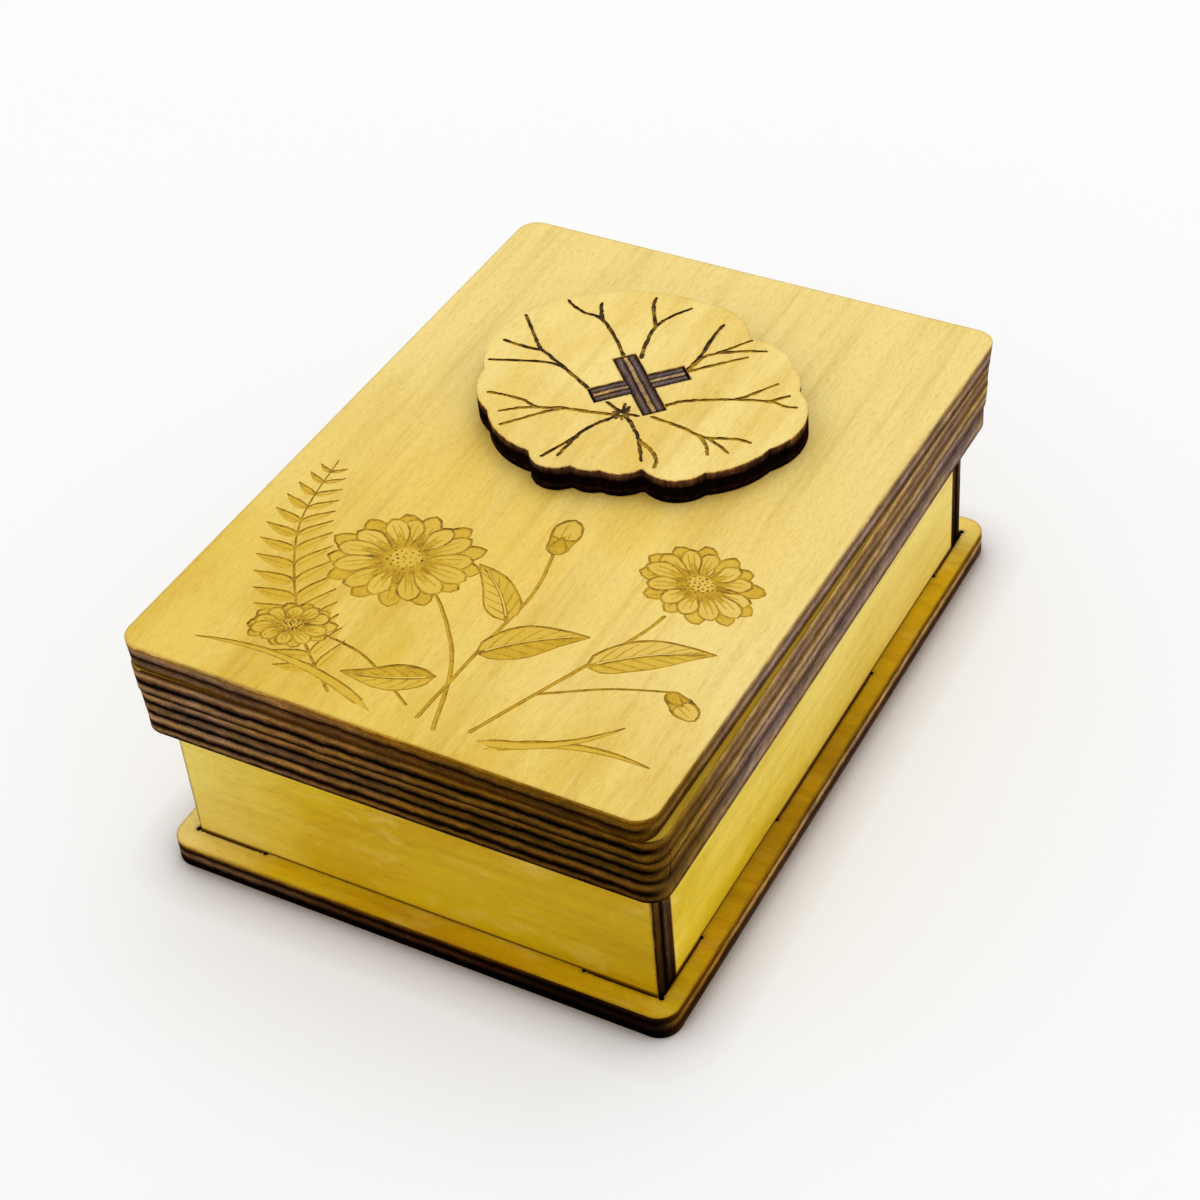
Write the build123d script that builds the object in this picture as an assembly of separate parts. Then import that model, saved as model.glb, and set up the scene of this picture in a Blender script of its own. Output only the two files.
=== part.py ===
# Puzzle box of laser-cut plywood: a walled tray under a lift-off cap lid.
# A leaf-shaped knob turns two crossed blades and a scroll cam, which slides four bolts into the walls.
# Millimetres. X runs right along the short front side, Y runs back, Z runs up.
# The origin is the middle of the underside. The bolts are drawn back and the lid is down.

import os
from math import cos, hypot, radians, sin

from build123d import *

# Sheet and overall sizes
sheet = 4.0
panel_width = 80.0
panel_length = 109.0
panel_corner_radius = 3.2
panel_turn = -0.8
panel_shift = (0.25, -0.3)

# Tray
base_width = 79.6
base_length = 109.8
wall_margin = 3.2
wall_showing = 21.2
wall_end_gap = 0.35
corner_tab = 11.2
middle_tab = 32.0
tab_gap = 0.2
notch_radius = 0.35

# Lid rim: how far each sheet stands out past the nominal side, at the right and at the front
lid_gap = 0.3
rim_upper_steps = (0.3, 0.2)
rim_middle_steps = (0.15, -0.2)
rim_lower_steps = (-0.4, -0.5)

# Knob and blades
axle_x = 0.5
axle_y = 17.7
blade_width = 13.7
blade_sheet = 3.2
blade_gap = 0.1
knob_slot_side_gap = 0.15
knob_slot_end_gap = 0.4
knob_lift = 0.2
blade_short_of_cover = 0.5
axle_hole_gap = 0.25

# Cam, bolts and pins
cam_turn = 70.0
block_gap = 0.4
run_gap = 0.15
cam_gap = 0.2
pin_radius = 1.5
pin_slot_gap = 0.25
pin_circle_start = 13.0
cam_slot_rim = 3.0
cam_slot_steps = 8
cam_housing_gap = 0.4
bolt_width = 12.0
bolt_side_gap = 0.2
bolt_heel = 2.8
bolt_tip_short = 0.2
window_gap = 0.3

# The leaf outline about the axle, going round anticlockwise from the right:
# each lobe ends at a dip, and its arc passes through a crest
leaf_dips = [
    (23.5, -6.3), (21.7, 7.4), (18.9, 11.7), (9.9, 15.9), (0.0, 21.65),
    (-20.2, 14.6), (-22.6, -5.4), (-17.2, -13.8), (-7.2, -19.5), (-0.2, -20.2),
    (4.0, -19.6), (9.3, -17.0), (17.6, -14.5),
]
leaf_crests = [
    (25.6, -0.3), (20.7, 9.8), (15.3, 15.1), (6.2, 20.2), (-10.9, 20.4),
    (-25.3, 4.6), (-21.0, -10.3), (-12.6, -18.0), (-3.8, -21.9), (1.5, -20.5),
    (7.2, -19.1), (14.0, -17.8), (21.1, -11.4),
]
leaf_dip_radius = 0.4

# Levels
base_top = sheet
rim_bottom = base_top + wall_showing
rim_lower_top = rim_bottom + sheet
rim_middle_top = rim_lower_top + sheet
panel_bottom = rim_middle_top + sheet
panel_top = panel_bottom + sheet
knob_bottom = panel_top + knob_lift
knob_top = knob_bottom + sheet
blade_bottom = rim_bottom + blade_short_of_cover

# Plan sizes that follow from the values above, as half widths in X and Y
panel_half = (panel_width / 2, panel_length / 2)
base_half = (base_width / 2, base_length / 2)
wall_half = (panel_half[0] - wall_margin, panel_half[1] - wall_margin)
inner_half = (wall_half[0] - sheet, wall_half[1] - sheet)
block_half = (inner_half[0] - block_gap, inner_half[1] - block_gap)
rim_inner_half = (wall_half[0] + lid_gap, wall_half[1] + lid_gap)
bolt_travel = sheet + block_gap - bolt_tip_short
axle_radius = hypot(blade_width, blade_sheet) / 2
axle_hole_radius = axle_radius + axle_hole_gap
pin_circle_end = pin_circle_start + bolt_travel
cam_slot_half = pin_radius + pin_slot_gap
cam_radius = pin_circle_end + cam_slot_half + cam_slot_rim
bolt_bottom = rim_lower_top + run_gap
bolt_top = rim_middle_top - run_gap
cam_bottom = rim_middle_top + cam_gap
cam_top = panel_bottom - cam_gap
bolt_heel_radius = pin_circle_start - pin_radius - bolt_heel
axle = (axle_x, axle_y)
blade_angle = 45.0
bolt_angles = {"right": 0, "back": 90, "left": 180, "front": 270}
on_its_foot = (Align.CENTER, Align.CENTER, Align.MIN)


def slab(x_range, y_range, z_range):
    """A plain rectangular piece between two corners."""
    low = (x_range[0], y_range[0], z_range[0])
    high = (x_range[1], y_range[1], z_range[1])
    size = [b - a for a, b in zip(low, high)]
    return Pos(*low) * Box(*size, align=(Align.MIN, Align.MIN, Align.MIN))


def sheet_piece(face, bottom, thickness=sheet):
    """A flat piece cut from sheet, standing on the given level."""
    return Pos(0, 0, bottom) * extrude(face, amount=thickness)


def round_rod(centre, radius, z_range):
    """An upright cylinder, used as a dowel or to drill a hole."""
    rod = Cylinder(radius, z_range[1] - z_range[0], align=on_its_foot)
    return Pos(centre[0], centre[1], z_range[0]) * rod


def rounded_sheet(half, radius, bottom):
    """A sheet with four rounded corners, centred on the origin."""
    return sheet_piece(RectangleRounded(2 * half[0], 2 * half[1], radius), bottom)


def base_plate():
    """The base, with L-shaped corner holes and a slot for the middle tab of each side wall."""
    plate = rounded_sheet(base_half, panel_corner_radius, 0)
    depth = (0, sheet)
    for side_x in (-1, 1):
        for side_y in (-1, 1):
            outer = (side_x * wall_half[0], side_y * wall_half[1])
            arm_x = sorted((outer[0], outer[0] - side_x * (corner_tab + tab_gap)))
            arm_y = sorted((outer[1], outer[1] - side_y * (sheet + tab_gap / 2)))
            plate -= slab(arm_x, arm_y, depth)
            arm_x = sorted((outer[0], outer[0] - side_x * (sheet + tab_gap / 2)))
            arm_y = sorted((outer[1], outer[1] - side_y * (corner_tab + tab_gap)))
            plate -= slab(arm_x, arm_y, depth)
            front_notch = (outer[0] - side_x * (corner_tab + tab_gap), outer[1])
            side_notch = (outer[0], outer[1] - side_y * (corner_tab + tab_gap))
            for notch in (outer, front_notch, side_notch):
                plate -= round_rod(notch, notch_radius, depth)
        slot_x = sorted((side_x * wall_half[0], side_x * (inner_half[0] - tab_gap / 2)))
        slot_half = middle_tab / 2 + tab_gap
        plate -= slab(slot_x, (-slot_half, slot_half), depth)
        for end_y in (-slot_half, slot_half):
            plate -= round_rod((side_x * wall_half[0], end_y), notch_radius, depth)
    return plate


def bolt_window(direction):
    """The space through one wall that a bolt slides into."""
    half = bolt_width / 2 + window_gap
    z_range = (bolt_bottom - window_gap, bolt_top + window_gap)
    if direction[0]:
        x_range = sorted((direction[0] * block_half[0], direction[0] * rim_inner_half[0]))
        return slab(x_range, (axle_y - half, axle_y + half), z_range)
    y_range = sorted((direction[1] * block_half[1], direction[1] * rim_inner_half[1]))
    return slab((axle_x - half, axle_x + half), y_range, z_range)


def end_wall(side):
    """The front wall (side -1) or the back wall (side 1), full width, with a tab at each end."""
    half_length = wall_half[0] - wall_end_gap
    y_range = sorted((side * wall_half[1], side * inner_half[1]))
    wall = slab((-half_length, half_length), y_range, (base_top, panel_bottom))
    for end in (-1, 1):
        tab_x = sorted((end * half_length, end * (wall_half[0] - corner_tab)))
        wall += slab(tab_x, y_range, (0, base_top))
    return wall - bolt_window((0, side))


def side_wall(side):
    """The left wall (side -1) or the right wall (side 1), between the front and back walls."""
    x_range = sorted((side * wall_half[0], side * inner_half[0]))
    half_length = inner_half[1]
    wall = slab(x_range, (-half_length, half_length), (base_top, panel_bottom))
    for end in (-1, 1):
        tab_y = sorted((end * half_length, end * (wall_half[1] - corner_tab)))
        wall += slab(x_range, tab_y, (0, base_top))
    wall += slab(x_range, (-middle_tab / 2, middle_tab / 2), (0, base_top))
    return wall - bolt_window((side, 0))


def top_panel():
    """The lid's top sheet, glued on slightly turned, with a round hole for the crossed blades."""
    panel = Rot(0, 0, panel_turn) * rounded_sheet(panel_half, panel_corner_radius, panel_bottom)
    panel = Pos(*panel_shift) * panel
    return panel - round_rod(axle, axle_hole_radius, (panel_bottom, panel_top))


def rim_strips(name, bottom, steps, ends_run_through):
    """One sheet of the rim as four strips. Either the ends or the sides run through the corners."""
    outline_half = (panel_half[0] + steps[0] / 2, panel_half[1] + steps[1] / 2)
    outline = rounded_sheet(outline_half, panel_corner_radius, bottom)
    outline = Pos(steps[0] / 2, -steps[1] / 2, 0) * outline
    z_range = (bottom, bottom + sheet)
    reach = (panel_width, panel_length)
    end_reach = reach[0] if ends_run_through else rim_inner_half[0]
    side_reach = rim_inner_half[1] if ends_run_through else reach[1]
    strips = {}
    for word, side in (("front", -1), ("back", 1)):
        y_range = sorted((side * rim_inner_half[1], side * reach[1]))
        strips[f"{name}_{word}_strip"] = outline & slab((-end_reach, end_reach), y_range, z_range)
    for word, side in (("left", -1), ("right", 1)):
        x_range = sorted((side * rim_inner_half[0], side * reach[0]))
        strips[f"{name}_{word}_strip"] = outline & slab(x_range, (-side_reach, side_reach), z_range)
    return strips


def crossed_slots(length, width):
    """The outline of two slots crossed at the axle, in line with the blades."""
    slots = Rot(0, 0, blade_angle) * Rectangle(length, width)
    slots += Rot(0, 0, -blade_angle) * Rectangle(length, width)
    return Pos(*axle) * slots


def leaf_outline():
    """The scalloped edge of the leaf: one arc for each lobe, with eased dips between them."""
    dips = leaf_dips
    arcs = [
        ThreePointArc(dips[i], leaf_crests[i], dips[(i + 1) % len(dips)])
        for i in range(len(dips))
    ]
    face = make_face(arcs)
    return fillet(face.vertices(), leaf_dip_radius)


def leaf_knob():
    """The leaf that is turned by hand."""
    slots = crossed_slots(blade_width + 2 * knob_slot_end_gap, blade_sheet + 2 * knob_slot_side_gap)
    return sheet_piece(Pos(*axle) * leaf_outline() - slots, knob_bottom)


def axle_blade(angle, slot_range):
    """One upright blade of the axle, halved to pass the other one."""
    blade = Box(blade_width, blade_sheet, knob_top - blade_bottom, align=on_its_foot)
    blade = Pos(0, 0, blade_bottom) * blade
    slot_half = blade_sheet / 2 + blade_gap / 2
    blade -= slab((-slot_half, slot_half), (-blade_sheet, blade_sheet), slot_range)
    return Pos(axle_x, axle_y, 0) * Rot(0, 0, angle) * blade


def polar(radius, angle):
    """A point at a radius and an angle in degrees."""
    return (radius * cos(radians(angle)), radius * sin(radians(angle)))


def spiral_slot(start_angle):
    """The outline of one cam slot. Its middle line gains the bolt travel over the cam's turn."""
    steps = cam_slot_steps
    rise = bolt_travel / radians(cam_turn)

    def edge(side):
        points = []
        for i in range(steps + 1):
            turn = cam_turn * i / steps
            radius = pin_circle_start + bolt_travel * i / steps
            angle = radians(start_angle + turn)
            along = (rise * cos(angle) - radius * sin(angle), rise * sin(angle) + radius * cos(angle))
            length = hypot(*along)
            middle = polar(radius, start_angle + turn)
            points.append((
                middle[0] + side * cam_slot_half * along[1] / length,
                middle[1] - side * cam_slot_half * along[0] / length,
            ))
        return points

    outer, inner = edge(1), edge(-1)
    band = make_face([Spline(*outer), Line(outer[-1], inner[-1]), Spline(*inner), Line(inner[0], outer[0])])
    start = Pos(*polar(pin_circle_start, start_angle)) * Circle(cam_slot_half)
    end = Pos(*polar(pin_circle_end, start_angle + cam_turn)) * Circle(cam_slot_half)
    return band + start + end


def scroll_cam():
    """The disc under the top panel, keyed to the blades, with one spiral slot for each bolt's pin."""
    disc = Circle(cam_radius)
    for bolt_angle in bolt_angles.values():
        disc -= spiral_slot(bolt_angle)
    disc = Pos(*axle) * disc - crossed_slots(blade_width + blade_gap, blade_sheet + blade_gap)
    return sheet_piece(disc, cam_bottom, cam_top - cam_bottom)


def bolt_and_pin(word):
    """A bolt, drawn back, with its follower pin standing up into the cam."""
    reaches = {
        "right": block_half[0] - axle_x,
        "back": block_half[1] - axle_y,
        "left": block_half[0] + axle_x,
        "front": block_half[1] + axle_y,
    }
    bolt = slab((bolt_heel_radius, reaches[word]), (-bolt_width / 2, bolt_width / 2), (bolt_bottom, bolt_top))
    pin = round_rod((pin_circle_start, 0), pin_radius, (bolt_bottom, cam_top))
    place = Pos(axle_x, axle_y, 0) * Rot(0, 0, bolt_angles[word])
    return place * (bolt - pin), place * pin


def guide_plates():
    """The four plates that fill the bolt level and guide the bolts between them."""
    half = bolt_width / 2 + bolt_side_gap
    x_ranges = {"left": (-block_half[0], axle_x - half), "right": (axle_x + half, block_half[0])}
    y_ranges = {"front": (-block_half[1], axle_y - half), "back": (axle_y + half, block_half[1])}
    z_range = (rim_lower_top, rim_middle_top)
    return {
        f"guide_plate_{y_word}_{x_word}": slab(x_range, y_range, z_range)
        for y_word, y_range in y_ranges.items()
        for x_word, x_range in x_ranges.items()
    }


def block_sheet(bottom, hole_radius):
    """A sheet of the mechanism block, inside the walls, with a round hole at the axle."""
    plate = slab((-block_half[0], block_half[0]), (-block_half[1], block_half[1]), (bottom, bottom + sheet))
    return plate - round_rod(axle, hole_radius, (bottom, bottom + sheet))


def all_pieces():
    """Every separate piece by name."""
    blade_middle = (blade_bottom + knob_top) / 2
    pieces = {
        "base_plate": base_plate(),
        "front_wall": end_wall(-1),
        "back_wall": end_wall(1),
        "left_wall": side_wall(-1),
        "right_wall": side_wall(1),
        "lid_top_panel": top_panel(),
        "cam_housing": block_sheet(rim_middle_top, cam_radius + cam_housing_gap),
        "cover_plate": block_sheet(rim_bottom, axle_hole_radius),
        "leaf_knob": leaf_knob(),
        "axle_blade_over": axle_blade(-blade_angle, (blade_bottom, blade_middle)),
        "axle_blade_under": axle_blade(blade_angle, (blade_middle, knob_top)),
        "scroll_cam": scroll_cam(),
    }
    pieces.update(rim_strips("rim_upper", rim_middle_top, rim_upper_steps, False))
    pieces.update(rim_strips("rim_middle", rim_lower_top, rim_middle_steps, True))
    pieces.update(rim_strips("rim_lower", rim_bottom, rim_lower_steps, False))
    pieces.update(guide_plates())
    for word in bolt_angles:
        bolt, pin = bolt_and_pin(word)
        pieces[f"{word}_bolt"] = bolt
        pieces[f"{word}_follower_pin"] = pin
    return pieces


def main():
    os.makedirs("parts", exist_ok=True)
    for name, piece in all_pieces().items():
        solids = piece.solids()
        shape = solids[0] if len(solids) == 1 else Compound(children=list(solids))
        export_step(shape, f"parts/{name}.step")


if __name__ == "__main__":
    main()
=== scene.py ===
# Looks for the plywood puzzle box: laser-cut sheets with burnt edges, engraving, floor, light and camera.
# Metres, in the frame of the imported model. Sizes given in millimetres are turned with MM.

from math import cos, dist, hypot, pi, radians, sin
from random import Random

import bmesh
import bpy
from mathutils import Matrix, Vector, noise
from mathutils.geometry import delaunay_2d_cdt


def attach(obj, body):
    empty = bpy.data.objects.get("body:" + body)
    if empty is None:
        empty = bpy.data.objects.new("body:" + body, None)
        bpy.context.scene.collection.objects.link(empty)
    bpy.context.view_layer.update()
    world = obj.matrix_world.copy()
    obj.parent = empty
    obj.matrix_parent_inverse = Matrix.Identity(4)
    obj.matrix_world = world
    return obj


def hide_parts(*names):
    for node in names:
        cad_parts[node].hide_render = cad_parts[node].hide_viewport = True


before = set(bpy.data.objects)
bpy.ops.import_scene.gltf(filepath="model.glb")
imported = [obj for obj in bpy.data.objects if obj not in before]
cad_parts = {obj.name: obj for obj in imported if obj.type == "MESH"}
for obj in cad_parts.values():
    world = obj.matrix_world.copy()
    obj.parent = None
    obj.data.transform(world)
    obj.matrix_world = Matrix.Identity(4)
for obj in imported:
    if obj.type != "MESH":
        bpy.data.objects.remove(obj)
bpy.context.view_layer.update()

MM = 0.001

# Camera, as solved from the photograph: metres and degrees, the lens and its sensor in mm
CAMERA_PLACE = (0.14769, -0.23612, 0.26263)
CAMERA_TURN = (48.618, 4.115, 28.151)
CAMERA_LENS = 76.68
SENSOR_WIDTH = 36.0
NEAREST_SEEN = 0.01

# Light: an even white sky, and a soft square lamp high up behind the object
SKY_LIGHT = 0.88
BACKDROP = 0.96
KEY_POWER = 6.0
KEY_PLACE = (0.0, 0.62, 1.70)
KEY_SIZE = 1.0

# Floor: half its width in metres, its tone and glow, and how near a piece must stand to shade it
FLOOR_REACH = 3.0
FLOOR_TONE = 0.95
FLOOR_GLOW = 0.42
FLOOR_ROUGHNESS = 0.9
CONTACT_REACH = 0.008
CONTACT_SAMPLES = 8

# Sheets, in mm. The glue lines and the charred ply are shares of the thickness, the crease is in degrees,
# and SIDE_FALL is how soon an edge that turns from the side loses the side bands
PLY_LINES = (1 / 3, 2 / 3)
PLY_LINE_SOFTNESS = 0.018
CHARRED_PLY = 0.8
EDGE_STEP = 1.4
ARRIS = 0.09
SLOT_ARRIS = 0.30
NOTCH_ARRIS = 0.04
NOTCH_STEP = 0.4
SCORCH_WIDTH = 0.55
GLUE_GROOVE = 0.05
EDGE_RIPPLE = 0.025
MERGE_REACH = 0.002
SHEET_CREASE = 32
SIDE_FALL = 5

# How far the underside of the lid's sheets draws in, from where on, and where the strips' butt ends are
LEAN_SIDE = 0.4
LEAN_END = 0.12
STRIP_LEAN = 0.3
LEAN_FROM = (37.5, 52.0)
BUTT_X = 37.1

# Dowels, in mm: (rise, inset) along an eased end, the flutes, and the crease in degrees
DOWEL_SIDES = 48
DOWEL_END = ((0.0, 0.42), (0.05, 0.24), (0.18, 0.08), (0.42, 0.0))
DOWEL_CREASE = 40
FLUTES = 8
FLUTE_DEPTH = 0.05
DOWEL_RIPPLE = 0.012

# Knob and engraving, in mm, and how much more the walls of a cut are burnt than its floor
LEAF_MIDDLE = (0.5, 17.7)
VEIN_DEPTH = 0.17
LINE_DEPTH = 0.09
FILL_DEPTH = 0.08
WALL_BURN = 0.12

X_AXIS = Vector((1, 0, 0))
Y_AXIS = Vector((0, 1, 0))
Z_AXIS = Vector((0, 0, 1))


# Colours and shader nodes

def tone(red, green, blue):
    """A colour given in the 0 to 255 values of a picture, as the linear colour that a shader takes."""
    def linear(value):
        value /= 255
        return value / 12.92 if value <= 0.04045 else ((value + 0.055) / 1.055) ** 2.4
    return (linear(red), linear(green), linear(blue), 1.0)


def grey(value):
    return (value, value, value, 1.0)


def put(tree, kind, inputs=None, **settings):
    """A new shader node. An input is a value, or the output of another node."""
    made = tree.nodes.new("ShaderNode" + kind)
    for key, value in settings.items():
        setattr(made, key, value)
    for key, value in (inputs or {}).items():
        if isinstance(value, bpy.types.NodeSocket):
            tree.links.new(value, made.inputs[key])
        else:
            made.inputs[key].default_value = value
    return made


def maths(tree, operation, first, second=0.0, third=0.0, clamp=False):
    inputs = {0: first, 1: second, 2: third}
    return put(tree, "Math", inputs, operation=operation, use_clamp=clamp).outputs[0]


def product(tree, first, second, clamp=False):
    return maths(tree, "MULTIPLY", first, second, clamp=clamp)


def blended(tree, factor, first, second, blend="MIX"):
    """Two colours mixed by a factor."""
    inputs = {0: factor, 6: first, 7: second}
    return put(tree, "Mix", inputs, data_type="RGBA", blend_type=blend).outputs[2]


def times(tree, colour, shade, factor=1.0):
    """A colour multiplied by another one."""
    return blended(tree, factor, colour, shade, "MULTIPLY")


def ramp(tree, factor, stops, smooth=False):
    """A colour ramp from a list of (position, colour)."""
    made = put(tree, "ValToRGB", {"Fac": factor})
    made.color_ramp.interpolation = "EASE" if smooth else "LINEAR"
    elements = made.color_ramp.elements
    while len(elements) < len(stops):
        elements.new(0.5)
    for element, (position, colour) in zip(elements, stops):
        element.position = position
        element.color = colour
    return made.outputs["Color"]


def shaded(tree, colour, factor, stops, share=1.0):
    """A colour multiplied by the tones of a ramp."""
    return times(tree, colour, ramp(tree, factor, stops), share)


def spread(tree, factor, low, high):
    """A value from 0 to 1 where factor goes from low to high."""
    inputs = {"Value": factor, "From Min": low, "From Max": high, "To Min": 0.0, "To Max": 1.0}
    return put(tree, "MapRange", inputs, clamp=True).outputs[0]


def swung(tree, value, reach, middle=0.0):
    """A noise made to swing about a middle."""
    return maths(tree, "MULTIPLY_ADD", maths(tree, "SUBTRACT", value, 0.5), reach, middle)


def texture(tree, vector, kind):
    """A noise. Its kind is a stretch, the size of the features in mm, detail and roughness."""
    stretch, size, detail, roughness = kind
    mapped = put(tree, "Mapping", {"Vector": vector, "Scale": stretch}).outputs[0]
    inputs = {"Vector": mapped, "Scale": 1 / size, "Detail": detail, "Roughness": roughness}
    return put(tree, "TexNoise", inputs).outputs["Fac"]


def grain_vector(tree, grain, seed):
    """The place on the object in millimetres, turned so that X runs along the grain."""
    place = put(tree, "TexCoord").outputs["Object"]
    apart = put(tree, "SeparateXYZ", {0: place})
    order = {"x": ("X", "Y", "Z"), "y": ("Y", "X", "Z"), "z": ("Z", "X", "Y")}[grain]
    swapped = put(tree, "CombineXYZ", {i: apart.outputs[letter] for i, letter in enumerate(order)})
    picker = Random(seed)
    shift = [picker.uniform(-400, 400) for _ in range(3)]
    inputs = {"Vector": swapped.outputs[0], "Scale": (1 / MM, 1 / MM, 1 / MM), "Location": shift}
    return put(tree, "Mapping", inputs).outputs[0]


def attribute(tree, name):
    return put(tree, "Attribute", attribute_name=name).outputs["Fac"]


# Textures: stretch along and across the grain, size of the features in mm, detail and roughness.
# The worn patches take their stretch along the grain from the look
BEND = ((0.10, 0.35, 0.35), 9.0, 2.0, 0.5)
BLOTCH = ((0.30, 0.75, 0.75), 9.0, 4.0, 0.6)
PATCHES = ((0.26, 0.62, 0.62), 17.0, 3.0, 0.55)
STREAKS = ((0.05, 1.0, 1.0), 1.9, 3.0, 0.6)
FLECKS = ((0.22, 1.0, 1.0), 0.30, 2.0, 0.65)
PORES = ((0.14, 1.0, 1.0), 0.20, 1.0, 0.4)
CRUMBS = ((1.0, 1.0, 1.0), 0.35, 3.0, 0.7)
SPOTS = ((1.0, 1.0, 1.0), 1.6, 2.0, 0.6)
RAGS = ((0.16, 0.16, 0.22), 0.42, 4.0, 0.7)
WAVES = ((1.0, 1.0, 0.2), 7.0, 2.0, 0.5)
DRIFT = ((0.12, 0.12, 0.5), 1.5, 3.0, 0.6)
SMOKE = ((0.5, 0.5, 0.5), 2.2, 4.0, 0.65)
FINE_SMOKE = ((1.0, 1.0, 0.4), 1.4, 4.0, 0.65)
FLAT_STRIPES = ((0.08, 0.08, 1.0), 0.24, 3.0, 0.65)
POST_STRIPES = ((1.0, 1.0, 0.08), 0.24, 3.0, 0.65)
WORN_STRETCH = 0.9
WORN_KIND = (4.5, 5.0, 0.65)

# Veneer: how far the fibres bend in mm, how far the border of the painted light wanders, from where to where
# a noise counts as light stain, worn, golden, in painted shade or a pore, and how far the streaks go in dark
# and light
FIBRE_BEND = 2.2
PAINTED_LIGHT_WANDER = 1.2
LIGHT_RANGE = (0.34, 0.60)
WORN_RANGE = (0.54, 0.72)
GOLD_RANGE = (0.50, 0.72)
PAINTED_SHADE_RANGE = (0.25, 0.55)
PORE_RANGE = (0.70, 0.80)
PORE_SHARE = 0.18
STREAK_RANGE = (0.30, 0.50, 0.72)
STREAK_DROP = (16, 22, 44)
STREAK_LIFT = 0.035
GOLD_TONE = tone(212, 168, 40)
PORE_TONE = tone(168, 122, 36)
HAIR_TONES = [(0.28, tone(243, 237, 219)), (0.50, grey(1.0)), (0.72, grey(1.035))]

# Engraving: how unevenly it is burnt, how soon it covers the wood, and how fast the scorched rim fades
BURN_SWING = 1.6
BURN_CRUMBS = 0.45
BURN_COVER = 2.6
SCORCH_FADE = 2.4
SCORCH_TONE = tone(84, 52, 12)
ENGRAVING_TONES = [(0.0, tone(226, 190, 76)), (0.35, tone(212, 172, 42)), (0.60, tone(168, 126, 20)),
                   (0.78, tone(84, 54, 12)), (0.95, tone(36, 19, 7))]

# Cut edges: how far the bands sway and wave, and the tones that smoke, drift, stripes and crumbs multiply in
BAND_SWAY = 0.22
BAND_WAVE = 0.12
STILL_NEAR_FACE = (1.0, 0.82)
STRIPE_SHARE = 0.85
SMOKE_TONES = [(0.32, grey(0.7)), (0.5, grey(1.0)), (0.70, grey(1.35))]
FINE_SMOKE_TONES = [(0.32, grey(0.1)), (0.5, grey(1.0)), (0.70, grey(2.4))]
DRIFT_TONES = [(0.35, tone(255, 246, 214)), (0.6, tone(236, 232, 255))]
STRIPE_TONES = [(0.33, grey(0.62)), (0.52, grey(1.0)), (0.68, grey(1.4))]
CRUMB_TONES = [(0.30, grey(0.72)), (0.5, grey(1.0)), (0.70, grey(1.3))]

# Surface: a thin satin stain over open fibres, and dry char on the edges. The relief's height is in mm
STAIN_ROUGHNESS = 0.42
FLECK_ROUGHNESS = 0.22
CHAR_ROUGHNESS = 0.85
STAIN_SHINE = 0.12
CHAR_SHINE = 0.01
FLECK_RELIEF = 0.6
CHAR_RELIEF = 2.5
RELIEF_HEIGHT = 0.02
RELIEF_STRENGTH = 0.6

# Tones of laser-cut edges, from char to pale wood, as red, green and blue from 0 to 255
EDGE_TONES = {
    "char": (9, 3, 2), "soot": (32, 16, 7), "umber": (60, 38, 20), "bronze": (90, 58, 15),
    "brown": (92, 64, 40), "hazel": (118, 90, 62), "tan": (136, 104, 72), "fawn": (160, 124, 80),
    "ochre": (142, 103, 36), "gold": (198, 158, 78), "honey": (224, 187, 98), "iron": (42, 30, 24),
    "slate": (84, 68, 58), "ash": (122, 106, 97), "clay": (108, 80, 48), "dust": (128, 104, 80),
    "sand": (150, 124, 98), "linen": (170, 145, 117), "straw": (184, 152, 102), "wheat": (206, 176, 112),
    "cork": (148, 116, 70), "amber": (158, 115, 16), "maize": (208, 168, 46),
}


def bands(text):
    """Tones across a cut edge, each with its place in percent, from the sheet's underside to its face."""
    stops = [stop.split() for stop in text.split(", ")]
    return [(float(place) / 100, tone(*EDGE_TONES[name])) for name, place in stops]


# Bands of the edges that look to the front: the lid's four sheets from the top down, the base, the walls'
# upright ends, the blades, the knob, and the sheets inside the lid
# The dark ends of the lid's bands are partly char and partly painted shadow, where the sheets meet and under
# the lowest sheet. The wide dark foot of the base's bands is partly painted contact shadow, and the blades'
# dark outer bands are partly painted gap shadow
END_BANDS = {
    "top": bands("bronze 0, bronze 10, hazel 24, brown 37, soot 45, umber 53, tan 62, fawn 72, "
                 "ochre 86, gold 93, honey 100"),
    "upper": bands("soot 0, soot 8, fawn 28, tan 36, soot 45, char 50, char 58, brown 68, fawn 84, "
                   "hazel 93, umber 100"),
    "middle": bands("char 0, char 8, hazel 22, hazel 32, char 47, char 57, tan 72, fawn 81, brown 90, "
                    "soot 100"),
    "lower": bands("char 0, soot 7, tan 21, umber 31, char 38, char 46, brown 56, fawn 64, fawn 72, "
                   "hazel 81, soot 89, char 100"),
    "base": bands("char 0, char 30, brown 44, hazel 52, brown 60, soot 70, char 77, bronze 85, "
                  "ochre 92, maize 100"),
    "post": bands("ochre 0, char 3.5, bronze 20, bronze 37, char 50, char 60, umber 70, clay 80, "
                  "clay 90, bronze 100"),
    "blade": bands("iron 0, ash 20, slate 28, iron 39, straw 44, straw 56, iron 62, ash 79, slate 88, "
                   "iron 100"),
    "char": bands("char 0, char 13, soot 22, char 32, char 66, umber 78, brown 95, gold 98.5, honey 100"),
    "plain": bands("brown 0, sand 30, umber 36, brown 62, sand 68, clay 100"),
}

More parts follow.
